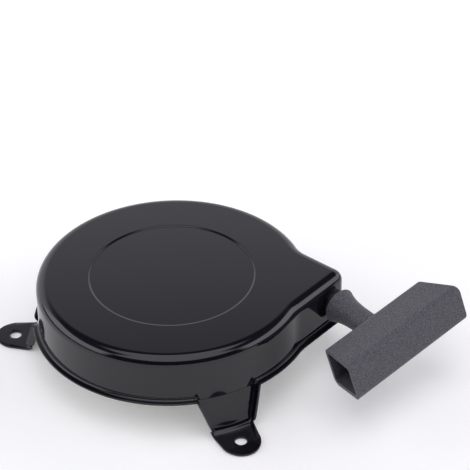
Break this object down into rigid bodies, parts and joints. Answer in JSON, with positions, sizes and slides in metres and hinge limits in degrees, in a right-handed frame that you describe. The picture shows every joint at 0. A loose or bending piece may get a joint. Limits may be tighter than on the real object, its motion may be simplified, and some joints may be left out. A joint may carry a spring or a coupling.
{
  "type": "recoil starter",
  "caption": "Pull-cord recoil starter: pressed steel housing on ears with a snout for the cord, nylon rope pulley with rewind spring, pawls under a lagging retainer, and a T-handle.",
  "frame": {"origin": "centre of the circle of the ear holes, on the pulley's axis, at the underside of the ears' feet", "axes": "+Z along the pulley's axis, up through the housing's closed top; +X out through the wall that the rope leaves by, square to that wall; +Y towards the rope's side"},
  "size_m": [0.2319, 0.1873, 0.057],
  "materials": {
    "housing_enamel": "gloss black enamel",
    "steel": "machined",
    "zinc_screw": "bright zinc",
    "spring_steel": "blued, oiled",
    "bronze": "sintered",
    "nylon": "milky natural nylon",
    "cream_plastic": "cream acetal",
    "rope": "braided polyester",
    "handle_plastic": "fine-textured dark grey",
    "guide_plastic": "black"
  },
  "bodies": {
    "housing": {"housing_shell": "housing_enamel", "center_post": "steel", "spring_arbor": "steel", "rope_guide": "guide_plastic", "guide_clip": "steel", "thrust_washer": "cream_plastic", "retaining_washer": "steel", "friction_washer": "spring_steel", "retainer_screw": "zinc_screw"},
    "pulley": {"pulley": "nylon", "pulley_bush": "bronze", "spring_cover": "steel", "rewind_spring": "spring_steel", "rope_coil": "rope", "pulley_knot": "rope"},
    "pawl_a": {"pawl_a": "cream_plastic"},
    "pawl_b": {"pawl_b": "cream_plastic"},
    "retainer": {"retainer": "cream_plastic"},
    "rope_end": {"rope_lead": "rope", "handle_knot": "rope"},
    "handle": {"handle_grip": "handle_plastic", "handle_washer": "steel"}
  },
  "joints": [
    {"name": "pulley_spin", "type": "hinge", "parent": "housing", "child": "pulley", "pos_m": [0, 0, 0.03], "axis": [0, 0, -1], "range_deg": [0, 1260], "stiffness_Nm_per_rad": 0.03, "springref_deg": -687.55, "deforming": ["rewind_spring"]},
    {"name": "retainer_lag", "type": "hinge", "parent": "pulley", "child": "retainer", "pos_m": [0, 0, 0.0142], "axis": [0, 0, 1], "range_deg": [0, 20]},
    {"name": "pawl_a_swing", "type": "hinge", "parent": "pulley", "child": "pawl_a", "pos_m": [-0.01362, 0.0256, 0.0172], "axis": [0, 0, 1], "range_deg": [0, 22.01]},
    {"name": "pawl_b_swing", "type": "hinge", "parent": "pulley", "child": "pawl_b", "pos_m": [0.01362, -0.0256, 0.0172], "axis": [0, 0, 1], "range_deg": [0, 22.01]},
    {"name": "handle_pull", "type": "slide", "parent": "housing", "child": "rope_end", "axis": [0.9863, -0.165, 0], "range_m": [0, 1.397], "deforming": ["rope_lead"]},
    {"name": "handle_twist", "type": "hinge", "parent": "rope_end", "child": "handle", "pos_m": [0.075, 0.05467, 0.0365], "axis": [0.9863, -0.165, 0], "continuous": true}
  ],
  "couplings": [
    {"joint": "pawl_a_swing", "follows": "retainer_lag", "ratio": 1.1},
    {"joint": "pawl_b_swing", "follows": "retainer_lag", "ratio": 1.1},
    {"joint": "handle_pull", "follows": "pulley_spin", "m_per_rad": 0.0635}
  ]
}
